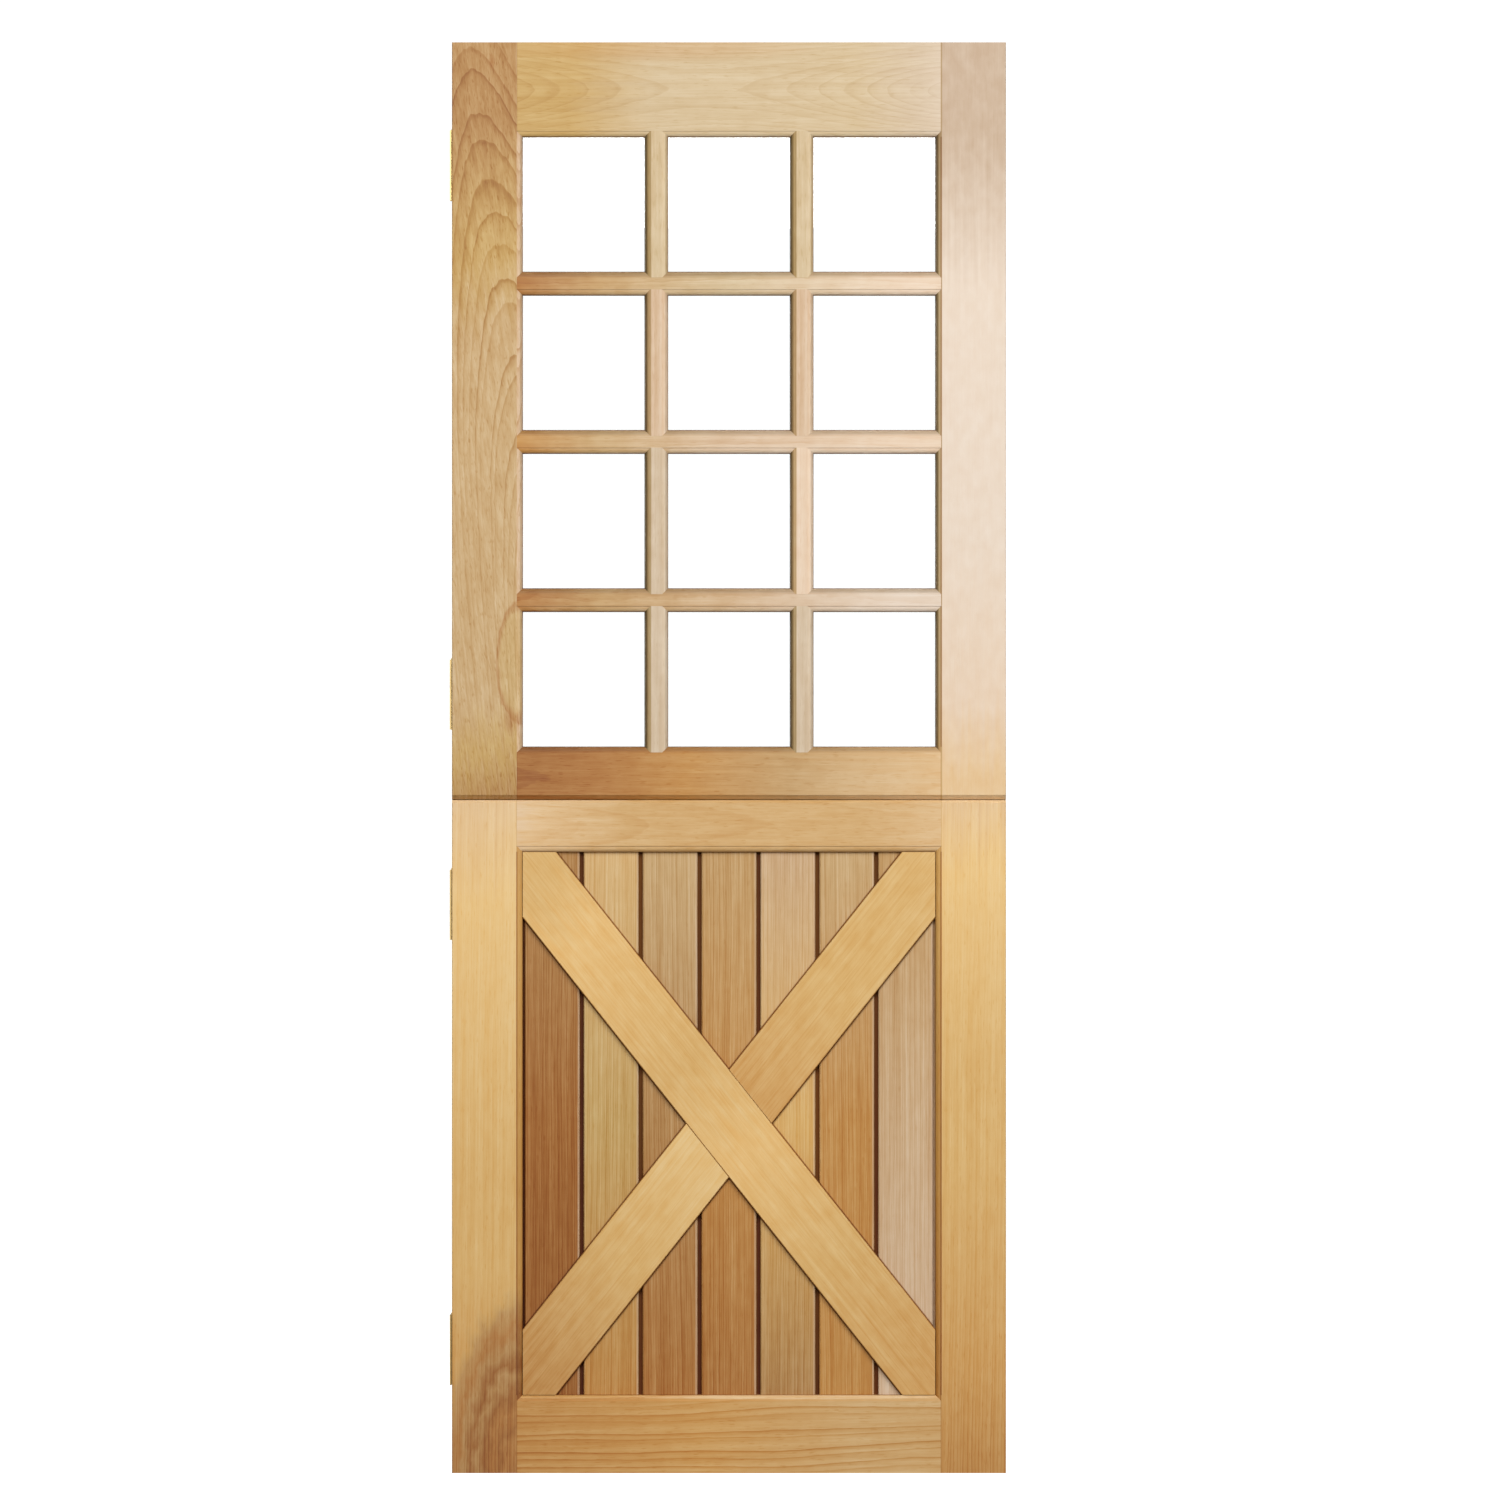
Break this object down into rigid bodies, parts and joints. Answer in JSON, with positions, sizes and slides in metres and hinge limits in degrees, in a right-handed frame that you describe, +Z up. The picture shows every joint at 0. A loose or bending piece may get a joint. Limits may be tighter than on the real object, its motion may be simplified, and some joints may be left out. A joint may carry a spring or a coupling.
{
  "type": "dutch stable door",
  "caption": "Timber stable door in two leaves on brass butt hinges: glazed upper leaf with glazing bars, boarded lower leaf with a cross brace, rebated where they meet.",
  "frame": {"origin": "middle of the bottom edge of the closed door, halfway through its thickness", "axes": "+Z up, +X to the right seen from the front, +Y from the front face to the back"},
  "size_m": [0.7936, 0.0534, 2.04],
  "materials": {
    "cedar_gold": "sanded, clear",
    "cedar_tan": "sanded, clear",
    "cedar_pale": "sanded, clear",
    "cedar_brown": "sanded, clear",
    "cedar_red": "sanded, clear",
    "glass": "clear, polished",
    "brass": "satin"
  },
  "bodies": {
    "frame_side": {"frame_hinge_leaf_1": "brass", "frame_hinge_leaf_2": "brass", "frame_hinge_leaf_3": "brass", "frame_hinge_leaf_4": "brass", "hinge_pin_1": "brass", "hinge_pin_2": "brass", "hinge_pin_3": "brass", "hinge_pin_4": "brass"},
    "lower_leaf": {"lower_hinge_stile": "cedar_gold", "lower_lock_stile": "cedar_gold", "lower_meeting_rail": "cedar_gold", "bottom_rail": "cedar_brown", "board_1": "cedar_red", "board_2": "cedar_tan", "board_3": "cedar_tan", "board_4": "cedar_tan", "board_5": "cedar_tan", "board_6": "cedar_brown", "board_7": "cedar_tan", "long_brace": "cedar_gold", "upper_short_brace": "cedar_gold", "lower_short_brace": "cedar_gold", "lower_hinge_leaf_1": "brass", "lower_hinge_leaf_2": "brass", "lower_hinge_screws": "brass"},
    "upper_leaf": {"upper_hinge_stile": "cedar_tan", "upper_lock_stile": "cedar_pale", "top_rail": "cedar_tan", "upper_meeting_rail": "cedar_brown", "glazing_bar_1": "cedar_tan", "glazing_bar_2": "cedar_tan", "glazing_bar_3": "cedar_tan", "upright_bar_1_1": "cedar_tan", "upright_bar_1_2": "cedar_tan", "upright_bar_1_3": "cedar_tan", "upright_bar_1_4": "cedar_tan", "upright_bar_2_1": "cedar_tan", "upright_bar_2_2": "cedar_tan", "upright_bar_2_3": "cedar_tan", "upright_bar_2_4": "cedar_tan", "pane_1_1": "glass", "pane_1_2": "glass", "pane_1_3": "glass", "pane_1_4": "glass", "pane_2_1": "glass", "pane_2_2": "glass", "pane_2_3": "glass", "pane_2_4": "glass", "pane_3_1": "glass", "pane_3_2": "glass", "pane_3_3": "glass", "pane_3_4": "glass", "glazing_beads_1": "cedar_tan", "glazing_beads_2": "cedar_tan", "glazing_beads_3": "cedar_tan", "glazing_beads_4": "cedar_tan", "upper_hinge_leaf_1": "brass", "upper_hinge_leaf_2": "brass", "upper_hinge_screws": "brass"}
  },
  "joints": [
    {"name": "lower_leaf_swing", "type": "hinge", "parent": "frame_side", "child": "lower_leaf", "pos_m": [-0.3921, 0.0269, 0.4925], "axis": [0, 0, 1], "range_deg": [0, 90]},
    {"name": "upper_leaf_swing", "type": "hinge", "parent": "lower_leaf", "child": "upper_leaf", "pos_m": [-0.3921, 0.0269, 1.4875], "axis": [0, 0, 1], "range_deg": [0, 90]}
  ]
}
